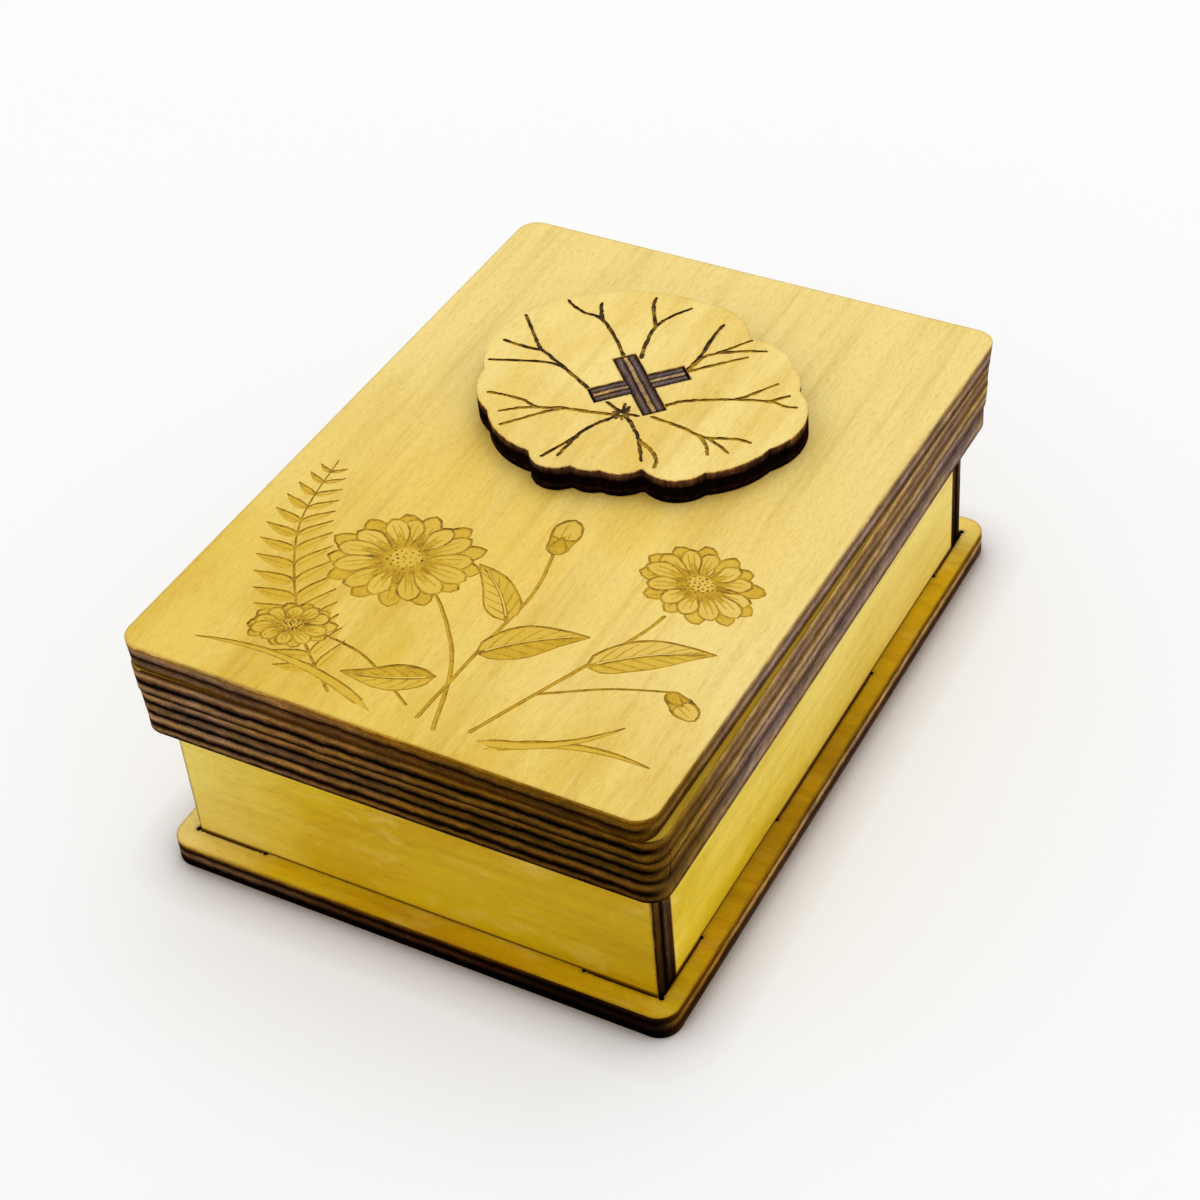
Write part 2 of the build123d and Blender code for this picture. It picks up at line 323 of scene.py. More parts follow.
# Bands of the edges that look to the side, where they differ
SIDE_BANDS = dict(END_BANDS)
SIDE_BANDS.update({
    "top": bands("clay 0, brown 22, dust 34, linen 44, sand 57, hazel 72, cork 86, wheat 100"),
    "upper": bands("clay 0, clay 18, sand 39, tan 50, hazel 63, cork 78, straw 93, straw 100"),
    "middle": bands("slate 0, hazel 20, sand 31, linen 42, dust 53, hazel 64, straw 80, straw 92, "
                    "cork 100"),
    "lower": bands("iron 0, slate 7, sand 21, linen 31, sand 44, dust 57, ash 70, slate 84, slate 100"),
    "base": bands("slate 0, slate 12, umber 31, bronze 41, cork 50, straw 58, straw 66, ochre 73, "
                  "bronze 81, amber 100"),
})

# Painted shade: how the bands darken to the right along the front, and along the side near the front corner,
# in metres
PAINTED_SHADE_X = (-0.030, 0.034)
PAINTED_SHADE_Y = (-0.052, -0.028)
LID_PAINTED_SHADE = [(0.05, grey(1.0)), (0.30, tone(240, 224, 176)), (0.58, tone(204, 188, 98)),
            (0.88, tone(180, 164, 78))]
BASE_PAINTED_SHADE = [(0.05, grey(1.0)), (0.30, tone(166, 146, 130)), (0.58, tone(134, 106, 90)),
             (0.88, tone(70, 56, 56))]
FRONT_PAINTED_SHADES = {"top": LID_PAINTED_SHADE, "upper": LID_PAINTED_SHADE, "middle": LID_PAINTED_SHADE, "lower": LID_PAINTED_SHADE, "base": BASE_PAINTED_SHADE}
SIDE_PAINTED_SHADE = [(0.0, tone(196, 176, 90)), (0.35, tone(212, 196, 120)), (1.0, grey(1.0))]

# Painted shade: heights in metres between which the walls lighten, their ends from the foot, their faces from
# the seam's painted shadow line
PAINTED_FOOT_SHADE_RANGE = (0.006, 0.020)
PAINTED_FOOT_SHADE_TONES = [(0.0, grey(0.25)), (1.0, grey(1.0))]
PAINTED_SEAM_SHADOW_RANGE = (0.0042, 0.0047)
PAINTED_SEAM_SHADOW_TONES = [(0.0, tone(128, 96, 30)), (1.0, grey(1.0))]


# Materials

def plywood_look(name, grain, seed, light, deep, gold=0.5, streak=1.0, edges="plain", soot=0.35,
                 pale=None, painted_light_way=(0, 0, 0), painted_light_range=(0, 1), mottle=0.0, mottle_run=0.16, painted_shade=None):
    """Stained birch plywood: veneer with fibres, streaks, blotches and pores, burnt cut edges and engraving.
    light and deep are the stain's two tones, and gold is how strongly it gathers in golden patches.
    soot is how dark the rim of a face is. pale is a lighter tone. It comes in as painted light where the
    place on the object, times painted_light_way, goes through painted_light_range, and as real worn patches
    with the strength mottle. The smaller mottle_run, the longer the patches are along the grain.
    painted_shade is (middle, inner radius, outer radius, tone): a place round which shade is painted into the
    stain, in mm."""
    material = bpy.data.materials.new(name)
    material.use_nodes = True
    tree = material.node_tree
    shader = tree.nodes["Principled BSDF"]
    vector = grain_vector(tree, grain, seed)
    place = put(tree, "TexCoord").outputs["Object"]
    apart = put(tree, "SeparateXYZ", {0: place}).outputs

    # Veneer
    bend = texture(tree, vector, BEND)
    offset = put(tree, "VectorMath", {0: bend, "Scale": FIBRE_BEND}, operation="SCALE").outputs[0]
    bent = put(tree, "VectorMath", {0: vector, 1: offset}, operation="ADD").outputs[0]
    blotch = texture(tree, bent, BLOTCH)
    patches = texture(tree, bent, PATCHES)
    streaks = texture(tree, bent, STREAKS)
    flecks = texture(tree, bent, FLECKS)
    pores = texture(tree, bent, PORES)
    stain = ramp(tree, blotch, list(zip(LIGHT_RANGE, (tone(*deep), tone(*light)))), smooth=True)
    # Painted light: the pale tone where the place goes through painted_light_range, with real worn patches
    if pale:
        along = put(tree, "VectorMath", {0: place, 1: painted_light_way}, operation="DOT_PRODUCT")
        wander = swung(tree, blotch, PAINTED_LIGHT_WANDER * (painted_light_range[1] - painted_light_range[0]))
        painted_light = spread(tree, maths(tree, "ADD", along.outputs["Value"], wander), *painted_light_range)
        worn = texture(tree, bent, ((mottle_run, WORN_STRETCH, WORN_STRETCH), *WORN_KIND))
        worn = product(tree, spread(tree, worn, *WORN_RANGE), mottle)
        stain = blended(tree, maths(tree, "MAXIMUM", painted_light, worn), stain, tone(*pale))
    golden = product(tree, spread(tree, patches, *GOLD_RANGE), gold)
    stain = blended(tree, golden, stain, GOLD_TONE)
    # Painted shade round a given place
    if painted_shade:
        middle, inner, outer, shade = painted_shade
        inputs = {0: place, 1: [value * MM for value in middle]}
        far = put(tree, "VectorMath", inputs, operation="DISTANCE").outputs["Value"]
        near = spread(tree, far, outer * MM, inner * MM)
        near = product(tree, near, spread(tree, blotch, *PAINTED_SHADE_RANGE))
        stain = times(tree, stain, tone(*shade), near)
    dark_line = tone(*[255 - streak * drop for drop in STREAK_DROP])
    pale_line = grey(1 + STREAK_LIFT * streak)
    wood = shaded(tree, stain, streaks, list(zip(STREAK_RANGE, (dark_line, grey(1.0), pale_line))))
    wood = shaded(tree, wood, flecks, HAIR_TONES)
    specks = product(tree, spread(tree, pores, *PORE_RANGE), PORE_SHARE)
    wood = blended(tree, specks, wood, PORE_TONE)
    # Painted shadow line along the foot of the walls' faces, at the seam with the base
    if edges == "post":
        wood = shaded(tree, wood, spread(tree, apart["Z"], *PAINTED_SEAM_SHADOW_RANGE), PAINTED_SEAM_SHADOW_TONES)

    # Engraving and the scorched rim of the face
    burn = attribute(tree, "burn")
    crumbs = texture(tree, vector, CRUMBS)
    swing = swung(tree, texture(tree, vector, SPOTS), BURN_SWING)
    uneven = swung(tree, crumbs, BURN_CRUMBS, burn)
    uneven = maths(tree, "MULTIPLY_ADD", swing, product(tree, burn, burn), uneven)
    covered = product(tree, burn, BURN_COVER, clamp=True)
    wood = blended(tree, covered, wood, ramp(tree, uneven, ENGRAVING_TONES))
    sooted = maths(tree, "ADD", crumbs, soot)
    smeared = product(tree, attribute(tree, "scorch"), sooted, clamp=True)
    wood = blended(tree, maths(tree, "POWER", smeared, SCORCH_FADE), wood, SCORCH_TONE)

    # Cut edges: three plies, burnt by the laser
    ply = attribute(tree, "ply")
    wave = swung(tree, texture(tree, vector, WAVES), BAND_WAVE)
    sway = swung(tree, texture(tree, vector, RAGS), BAND_SWAY, wave)
    level = maths(tree, "MULTIPLY_ADD", sway, spread(tree, ply, *STILL_NEAR_FACE), ply)
    ends = ramp(tree, level, END_BANDS[edges])
    flanks = ramp(tree, level, SIDE_BANDS[edges])
    # Painted shade along the front, and along the side near the front corner
    if edges in FRONT_PAINTED_SHADES:
        ends = shaded(tree, ends, spread(tree, apart["X"], *PAINTED_SHADE_X), FRONT_PAINTED_SHADES[edges])
        flanks = shaded(tree, flanks, spread(tree, apart["Y"], *PAINTED_SHADE_Y), SIDE_PAINTED_SHADE)
    cut = blended(tree, attribute(tree, "side"), ends, flanks)
    # Painted shade: the walls' cut ends darken towards the foot
    if edges == "post":
        cut = shaded(tree, cut, spread(tree, apart["Z"], *PAINTED_FOOT_SHADE_RANGE), PAINTED_FOOT_SHADE_TONES)
    smoke, smoke_tones = (FINE_SMOKE, FINE_SMOKE_TONES) if edges == "char" else (SMOKE, SMOKE_TONES)
    stripes = POST_STRIPES if edges in ("post", "blade") else FLAT_STRIPES
    cut = shaded(tree, cut, texture(tree, vector, smoke), smoke_tones)
    cut = shaded(tree, cut, texture(tree, vector, DRIFT), DRIFT_TONES)
    cut = shaded(tree, cut, texture(tree, vector, stripes), STRIPE_TONES, STRIPE_SHARE)
    cut = shaded(tree, cut, crumbs, CRUMB_TONES)

    # Surface
    edge = attribute(tree, "edge")
    rough = maths(tree, "MULTIPLY_ADD", flecks, FLECK_ROUGHNESS, STAIN_ROUGHNESS)
    rough = blended(tree, edge, rough, grey(CHAR_ROUGHNESS))
    height = maths(tree, "MULTIPLY_ADD", flecks, FLECK_RELIEF, streaks)
    height = maths(tree, "MULTIPLY_ADD", product(tree, crumbs, edge), CHAR_RELIEF, height)
    inputs = {"Height": height, "Distance": RELIEF_HEIGHT * MM, "Strength": RELIEF_STRENGTH}
    bump = put(tree, "Bump", inputs).outputs[0]
    shine = maths(tree, "MULTIPLY_ADD", edge, CHAR_SHINE - STAIN_SHINE, STAIN_SHINE)
    tree.links.new(blended(tree, edge, wood, cut), shader.inputs["Base Color"])
    tree.links.new(rough, shader.inputs["Roughness"])
    tree.links.new(bump, shader.inputs["Normal"])
    tree.links.new(shine, shader.inputs["Specular IOR Level"])
    return material


# Outlines

def pairs(ring):
    """Each point of a ring with the next one."""
    return zip(ring, ring[1:] + ring[:1])


def area(ring):
    return sum(a[0] * b[1] - b[0] * a[1] for a, b in pairs(ring)) / 2


def finer(ring, step):
    """The ring with its long edges divided."""
    points = []
    for a, b in pairs(ring):
        pieces = max(1, round(dist(a, b) / step))
        for i in range(pieces):
            points.append((a[0] + (b[0] - a[0]) * i / pieces, a[1] + (b[1] - a[1]) * i / pieces))
    return points


def with_neighbours(ring):
    """Each point of a ring between the one before and the one after it."""
    return zip(ring[-1:] + ring[:-1], ring, ring[1:] + ring[:1])


def left_of(a, b):
    """The direction to the left of the way from a to b."""
    length = dist(a, b) or 1.0
    return (-(b[1] - a[1]) / length, (b[0] - a[0]) / length)


def inward(ring):
    """For each point of a ring, the way into the wood, so long that the two edges beside it move by 1."""
    ways = []
    for before, point, after in with_neighbours(ring):
        here, there = left_of(before, point), left_of(point, after)
        share = max(0.3, 1 + here[0] * there[0] + here[1] * there[1])
        ways.append(((here[0] + there[0]) / share, (here[1] + there[1]) / share))
    return ways


def arris_shares(ring, arris):
    """How much of the arris each point of a ring takes. A charred slot's round notches, where the points lie
    close together, take little."""
    shares = []
    for before, point, after in with_neighbours(ring):
        steps = [dist(point, other) for other in (before, after)]
        in_notch = arris == SLOT_ARRIS and max(steps) < NOTCH_STEP
        shares.append(NOTCH_ARRIS / arris if in_notch else 1.0)
    return shares


# Sheets rebuilt from the outlines of the CAD nodes

def face_frame(axis):
    """Two directions in the plane of a sheet, so that first x second = axis."""
    first = X_AXIS if abs(axis.z) > 0.9 else Z_AXIS
    return first, axis.cross(first)


def cad_rings(node, axis):
    """The rings round the face of a CAD sheet, anticlockwise round the wood, and its two levels, in mm."""
    first, second = face_frame(axis)
    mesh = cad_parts[node].data
    places = [vertex.co / MM for vertex in mesh.vertices]
    levels = [place.dot(axis) for place in places]
    bottom, top = min(levels), max(levels)
    keys = [(round(place.dot(first), 4), round(place.dot(second), 4)) for place in places]
    edges = {}
    for face in mesh.polygons:
        corners = list(face.vertices)
        if face.normal.dot(axis) < 0.99 or min(levels[i] for i in corners) < top - 0.01:
            continue
        for a, b in pairs(corners):
            if keys[a] != keys[b]:
                edges[(keys[a], keys[b])] = True
    onward = {a: b for a, b in edges if (b, a) not in edges}
    rings = []
    while onward:
        start, point = next(iter(onward.items()))
        del onward[start]
        ring = [start]
        while point != start:
            ring.append(point)
            point = onward.pop(point)
        rings.append(ring)
    return rings, bottom, top


def edge_profile(arris):
    """(ply, inset in mm) down a cut edge, from the face to the underside."""
    low, high = PLY_LINES
    soft = PLY_LINE_SOFTNESS
    steps = [(1.0, arris), (0.985, arris * 0.35), (0.955, 0.0)]
    for line in (high, low):
        steps += [(line + soft, 0.0), (line, GLUE_GROOVE), (line - soft, 0.0)]
    steps += [(0.045, 0.0), (0.015, arris * 0.35), (0.0, arris)]
    return steps


def merge(mesh):
    """Joins the points that lie on each other."""
    work = bmesh.new()
    work.from_mesh(mesh)
    bmesh.ops.remove_doubles(work, verts=work.verts, dist=MERGE_REACH * MM)
    work.to_mesh(mesh)
    work.free()


def placed(name, data, place=(0, 0, 0), turn=(0, 0, 0)):
    """A new object in the scene."""
    made = bpy.data.objects.new(name, data)
    made.location = place
    made.rotation_euler = turn
    bpy.context.scene.collection.objects.link(made)
    return made


def stand_in(mesh, node, body, look, crease):
    """Puts a mesh in the place of a CAD node, which it hides, on the node's body and with the given look."""
    mesh.materials.append(look)
    mesh.shade_smooth()
    mesh.set_sharp_from_angle(angle=radians(crease))
    piece = placed(mesh.name, mesh)
    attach(piece, body)
    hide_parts(node)


def sheet(node, body, axis, look, side_axis=None, lean=(0.0, 0.0), shapes=(), slot_arris=ARRIS, butt=None):
    """A CAD sheet as three plies with eased, rippled and burnt edges. shapes are engraved in its face.
    side_axis is the direction whose edges take the side bands. lean is how far the underside draws in,
    in mm, on the outermost edges that look along the first and second direction of the face. Slots have
    charred edges if slot_arris is given. Ends at butt mm either side of the middle stay tight."""
    first, second = face_frame(axis)
    rings, bottom, top = cad_rings(node, axis)
    rings = [finer(ring, EDGE_STEP) for ring in rings]
    outer_id = max(range(len(rings)), key=lambda i: abs(area(rings[i])))
    arrises = [ARRIS if i == outer_id else slot_arris for i in range(len(rings))]
    shares_of = [arris_shares(ring, arris) for ring, arris in zip(rings, arrises)]
    ways_of = [inward(ring) for ring in rings]
    points, faces, values = [], [], []

    def place(x, y, level):
        points.append((first * x + second * y + axis * level) * MM)

    def drawn_in(point, way, inset, share):
        """A point of a ring moved into the wood by inset, and by a share of the lean."""
        shift = [step * inset for step in way]
        if butt and abs(abs(point[0]) - butt) < 0.05:
            shift[0] = 0.0
        for k in (0, 1):
            if abs(point[k]) > LEAN_FROM[k]:
                shift[k] += way[k] * lean[k] * share
        return (point[0] + shift[0], point[1] + shift[1])

    def cap(level, turn, engraved):
        """A face of the sheet. Every shape is cut out of it and let down by its depth."""
        flat, outlines, scorched = [], [], []
        under = turn < 0
        for ring, ways, arris, shares in zip(rings, ways_of, arrises, shares_of):
            outlines.append(range(len(flat), len(flat) + len(ring)))
            for point, way, share in zip(ring, ways, shares):
                flat.append(drawn_in(point, way, arris * share, under))
            scorched += [1.0] * len(ring)
        inner = []
        for ring, ways, arris in zip(rings, ways_of, arrises):
            start = len(flat)
            flat += [drawn_in(point, way, arris + SCORCH_WIDTH, under) for point, way in zip(ring, ways)]
            scorched += [0.0] * len(ring)
            inner += [(start + i, start + (i + 1) % len(ring)) for i in range(len(ring))]
        for outline, _, _ in engraved:
            outlines.append(range(len(flat), len(flat) + len(outline)))
            flat += outline
            scorched += [0.0] * len(outline)
        turned = [list(ids) if area([flat[i] for i in ids]) > 0 else list(ids)[::-1] for ids in outlines]
        made = delaunay_2d_cdt([Vector(point) for point in flat], inner, turned, 0, 1e-5, True)
        made_points, _, triangles, from_points, _, from_faces = made
        soot = [max([scorched[i] for i in origin if i < len(scorched)] or [0.0]) for origin in from_points]
        numbers = {}

        def number(index, depth):
            if (index, depth) not in numbers:
                numbers[(index, depth)] = len(points)
                place(made_points[index][0], made_points[index][1], level - turn * depth)
            return numbers[(index, depth)]

        depth_of_edge = {}
        for triangle, origins in zip(triangles, from_faces):
            inside = set(origins)
            holes = inside & (set(range(len(rings))) - {outer_id})
            if outer_id not in inside or holes:
                continue
            last = max([i - len(rings) for i in inside if i >= len(rings)], default=None)
            depth, burn = (0.0, 0.0) if last is None else engraved[last][1:]
            corners = [number(i, depth) for i in triangle]
            faces.append(corners if turn > 0 else corners[::-1])
            values.append((0.0, burn, [soot[i] for i in (triangle if turn > 0 else triangle[::-1])], 0.0))
            for a, b in pairs(triangle):
                depth_of_edge[(a, b)] = (depth, burn)
        for (a, b), (depth, burn) in depth_of_edge.items():
            other = depth_of_edge.get((b, a))
            if other is None or other[0] >= depth:
                continue
            corners = [number(b, depth), number(a, depth), number(a, other[0]), number(b, other[0])]
            faces.append(corners if turn > 0 else corners[::-1])
            values.append((0.0, min(1.0, burn + WALL_BURN), [0.0] * 4, 0.0))

    cap(top, 1, list(shapes))
    cap(bottom, -1, [])
    for ring, ways, arris, shares in zip(rings, ways_of, arrises, shares_of):
        profile = edge_profile(arris)
        rows = []
        for ply, inset in profile:
            level = bottom + (top - bottom) * ply
            row = []
            for (x, y), way, share in zip(ring, ways, shares):
                ripple = noise.noise(Vector((x * 0.9, y * 0.9, level * 0.35)))
                ripple += 0.6 * noise.noise(Vector((x * 3, y * 3, level)))
                ripple = EDGE_RIPPLE * (1 + ripple) if 0.0 < ply < 1.0 else 0.0
                row.append(len(points))
                place(*drawn_in((x, y), way, inset * share + ripple, 1 - ply), level)
            rows.append(row)
        charred = arris != ARRIS
        for upper, lower, over, under in zip(rows, rows[1:], profile, profile[1:]):
            plies = [CHARRED_PLY] * 4 if charred else [under[0], under[0], over[0], over[0]]
            for i in range(len(ring)):
                j = (i + 1) % len(ring)
                faces.append([lower[i], lower[j], upper[j], upper[i]])
                looks_to = first * (ring[j][1] - ring[i][1]) - second * (ring[j][0] - ring[i][0])
                share = abs(looks_to.normalized().dot(side_axis)) ** SIDE_FALL if side_axis else 0.0
                values.append((1.0, 0.0, plies, share))

    mesh = bpy.data.meshes.new(node + "_plies")
    mesh.from_pydata(points, [], faces)
    rows = []
    for edge, burn, corners, share in values:
        rows += [(edge, burn, 0.0 if edge else value, value if edge else 0.0, share) for value in corners]
    for name, data in zip(("edge", "burn", "scorch", "ply", "side"), zip(*rows)):
        mesh.attributes.new(name, "FLOAT", "CORNER").data.foreach_set("value", data)
    merge(mesh)
    stand_in(mesh, node, body, look, SHEET_CREASE)


# Lines and pens

def curve(points, steps):
    """A smooth line through points."""
    ends = [points[0]] + list(points) + [points[-1]]
    line = []
    for before, a, b, after in zip(ends, ends[1:], ends[2:], ends[3:]):
        for i in range(steps):
            t = i / steps
            place = []
            for k in (0, 1):
                squared = 2 * before[k] - 5 * a[k] + 4 * b[k] - after[k]
                cubed = 3 * a[k] - before[k] - 3 * b[k] + after[k]
                place.append(0.5 * (2 * a[k] + (b[k] - before[k]) * t + squared * t * t + cubed * t ** 3))
            line.append(tuple(place))
    line.append(tuple(points[-1]))
    return line


def beyond(before, end, width):
    """The point half a width past the end of a line."""
    run = dist(before, end) or 1.0
    return tuple(end[k] + (end[k] - before[k]) / run * width * 0.5 for k in (0, 1))


def stroke(line, start_width, end_width, wobble, seed):
    """The outline of a tapering line with a point at both ends."""
    picker = Random(seed)
    left, right = [], []
    last = len(line) - 1
    for i, (x, y) in enumerate(line):
        normal = left_of(line[max(0, i - 1)], line[min(last, i + 1)])
        half = (start_width + (end_width - start_width) * i / last) / 2
        sides = [half * (1 + wobble * picker.uniform(-1, 1)) for _ in range(2)]
        left.append((x + normal[0] * sides[0], y + normal[1] * sides[0]))
        right.append((x - normal[0] * sides[1], y - normal[1] * sides[1]))
    tip = beyond(line[-2], line[-1], end_width)
    tail = beyond(line[1], line[0], start_width)
    return right + [tip] + left[::-1] + [tail]


# Pens of the laser: width in mm at the start and at the end, wobble, depth in mm, and burn
PENS = {
    "vein halo": (1.0, 0.82, 0.0, 0.0, 0.13),
    "vein": (0.66, 0.48, 0.3, VEIN_DEPTH, 0.80),
    "pale vein": (0.66, 0.48, 0.3, VEIN_DEPTH, 0.64),
    "knot": (0.56, 0.44, 0.2, VEIN_DEPTH, 0.82),
    "petal outline": (0.24, 0.36, 0.25, LINE_DEPTH, 0.56),
    "petal vein": (0.25, 0.14, 0.2, LINE_DEPTH * 0.7, 0.47),
    "leaf outline": (0.33, 0.29, 0.3, LINE_DEPTH, 0.55),
    "leaf rib": (0.28, 0.16, 0.2, LINE_DEPTH, 0.47),
    "midrib": (0.62, 0.26, 0.0, LINE_DEPTH, 0.55),
    "midrib light": (0.26, 0.10, 0.0, 0.0, 0.04),
    "stem shade": (0.28, 0.22, 0.3, LINE_DEPTH, 0.58),
    "sepal outline": (0.31, 0.25, 0.2, LINE_DEPTH, 0.58),
    "leaflet shade": (0.27, 0.21, 0.3, LINE_DEPTH, 0.56),
    "leaflet rib": (0.18, 0.13, 0.2, LINE_DEPTH * 0.7, 0.46),
    "frond rib": (0.46, 0.20, 0.15, LINE_DEPTH, 0.56),
    "grass outline": (0.26, 0.21, 0.3, LINE_DEPTH, 0.54),
}


def drawn(line, pen, seed=0, darker=0.0):
    """A line cut with a pen, as a shape to engrave: its outline, its depth and its burn."""
    start_width, end_width, wobble, depth, burn = PENS[pen]
    return (stroke(line, start_width, end_width, wobble, seed), depth, burn + darker)


# Middle lines of the veins burnt into the knob, in mm about its middle
VEINS = [
    [(0.4, -7.6), (-3.4, -8.5), (-7.5, -9.2), (-10.9, -10.4), (-13.6, -9.7), (-16.9, -9.7), (-19.2, -10.0)],
    [(-10.9, -10.4), (-13.1, -11.5), (-15.5, -13.3)],
    [(-7.5, -9.3), (-9.3, -10.9), (-11.5, -13.4), (-13.8, -16.0)],
    [(0.7, -7.8), (-0.7, -9.6), (-1.8, -11.6), (-3.3, -16.1), (-4.9, -20.0)],
    [(-2.4, -13.6), (-2.6, -15.4), (-2.9, -19.0)],
    [(1.5, -7.2), (3.8, -9.2), (5.9, -11.5), (7.7, -14.4), (8.4, -15.6)],
    [(5.9, -11.5), (8.5, -12.9), (10.2, -14.6), (10.7, -16.2)],
    [(5.2, -6.2), (9.0, -6.5), (12.8, -7.3), (15.2, -7.7), (18.6, -9.3)],
    [(13.0, -7.3), (15.0, -8.9), (16.2, -10.8)],
    [(14.6, -7.4), (18.5, -6.1), (20.5, -6.1)],
    [(5.5, -3.5), (7.3, -1.5), (9.7, -0.1), (14.3, 2.0), (19.1, 3.4), (21.3, 3.2), (23.0, 3.6)],
    [(14.3, 2.0), (15.7, 3.7), (18.2, 7.6)],
    [(18.6, 3.2), (20.9, 5.7)],
    [(4.8, 5.7), (5.1, 9.1), (4.7, 14.5), (4.8, 17.6)],
    [(5.0, 5.7), (5.6, 9.2), (7.1, 11.0), (8.5, 13.0), (10.3, 15.6)],
    [(7.1, 10.9), (10.2, 12.7), (13.4, 14.0)],
    [(5.2, 5.4), (7.4, 7.7), (11.5, 11.7)],
    [(-2.6, 5.7), (-3.6, 9.0), (-4.2, 13.3), (-3.4, 16.3), (-1.4, 19.5)],
    [(-4.2, 13.3), (-6.8, 17.7), (-7.5, 19.9)],
    [(-5.0, 4.8), (-7.8, 8.0), (-12.4, 12.0), (-15.8, 12.6), (-18.4, 13.7), (-19.4, 14.5)],
    [(-12.4, 12.0), (-13.9, 14.5), (-14.4, 15.7)],
    [(-6.0, -3.9), (-10.6, -1.3), (-15.1, 1.0), (-17.5, 2.3), (-19.6, 4.5), (-23.5, 8.7)],
    [(-16.6, 1.8), (-20.6, 1.7), (-23.4, 2.0)],
    [(-12.4, -0.4), (-15.8, -0.7), (-23.0, -3.1)],
    [(0.2, -6.8), (-2.3, -5.5)],
    [(0.9, -6.9), (0.3, -4.9)],
    [(1.2, -6.8), (1.2, -5.3)],
    [(1.4, -7.0), (3.4, -6.7)],
]


def leaf_veins():
    """The veins of the knob, and a knot where they meet."""
    shapes = []
    for index, vein in enumerate(VEINS):
        line = curve([(x + LEAF_MIDDLE[0], y + LEAF_MIDDLE[1]) for x, y in vein], 7)
        end_x, end_y = vein[-1]
        ends_pale = end_x > 9 or end_y < -9.5 and end_x < -9
        shapes.append(drawn(line, "vein halo"))
        shapes.append(drawn(line, "pale vein" if ends_pale else "vein", index))
    hub = (LEAF_MIDDLE[0] + 0.9, LEAF_MIDDLE[1] - 7.2)
    for index in range(9):
        angle = 2 * pi * index / 9
        knot = []
        for reach, twist in ((0.45, 0.0), (1.3, 0.35)):
            knot.append((hub[0] + reach * cos(angle + twist), hub[1] + reach * sin(angle + twist)))
        shapes.append(drawn(knot, "knot", index))
    shapes.sort(key=lambda shape: shape[1])
    return shapes


# Plants engraved on the lid

def profile_petal(t):
    """Half width of a petal from root (0) to tip (1), broadest near the tip."""
    return 0.12 + 0.88 * sin(pi * min(1.0, t * 0.93 + 0.02) ** 1.5) if t < 0.985 else 0.0


def profile_leaf(t):
    """Half width of a pointed oval leaf."""
    return sin(pi * t ** 0.72) ** 0.85 * (1 - 0.25 * t)


def profile_blade(t):
    """Half width of a blade of grass."""
    return min(1.0, t * 6) ** 0.5 * (1 - t) ** 0.6


def across(root, tip, bend, t, side):
    """A point beside the bent middle line of a lobe, side being its distance to the left."""
    dx, dy = tip[0] - root[0], tip[1] - root[1]
    length = hypot(dx, dy)
    ux, uy = dx / length, dy / length
    bow = 4 * bend * t * (1 - t)
    slope = 4 * bend * (1 - 2 * t) / length
    x = root[0] + dx * t - uy * bow
    y = root[1] + dy * t + ux * bow
    nx, ny = -uy - ux * slope, ux - uy * slope
    size = hypot(nx, ny)
    return (x + nx / size * side, y + ny / size * side)


def lobe(root, tip, width, bend, profile, wave=0.0, seed=0):
    """The left and the right outline of a petal or leaf, both from root to tip."""
    picker = Random(seed)
    phases = [picker.uniform(0, 6.28) for _ in range(2)]
    steps = 12
    lines = []
    for side, phase in zip((1, -1), phases):
        line = []
        for i in range(steps + 1):
            t = i / steps
            half = width / 2 * profile(t) * (1 + wave * sin(9 * t + phase))
            line.append(across(root, tip, bend, t, side * max(0.0, half)))
        lines.append(line)
    return lines


def closed(left, right):
    return right + left[-2:0:-1]


def petal(root, tip, width, bend, seed, tonal):
    """A petal: a shallow tonal fill, a deeper shade at the root, an outline and two fine veins."""
    picker = Random(seed)
    left, right = lobe(root, tip, width, bend, profile_petal, 0.05, seed)
    shapes = [(closed(left, right), FILL_DEPTH, tonal + picker.uniform(-0.05, 0.05))]
    inner_tip = across(root, tip, bend, picker.uniform(0.45, 0.62), 0.0)
    shade = lobe(root, inner_tip, width * 0.5, bend * 0.3, profile_leaf)
    shapes.append((closed(*shade), FILL_DEPTH * 1.3, tonal + 0.16))
    for i, side in enumerate((-0.25, 0.25)):
        places = ((0.10, 0.4), (0.30, 0.8), (0.50, 1.0), (picker.uniform(0.62, 0.84), 1.0))
        line = [across(root, tip, bend, t, side * width * 0.55 * share) for t, share in places]
        shapes.append(drawn(curve(line, 3), "petal vein", seed + i))
    for line in (left, right):
        shapes.append(drawn(line, "petal outline", seed + 9, picker.uniform(-0.06, 0.06)))
    return shapes


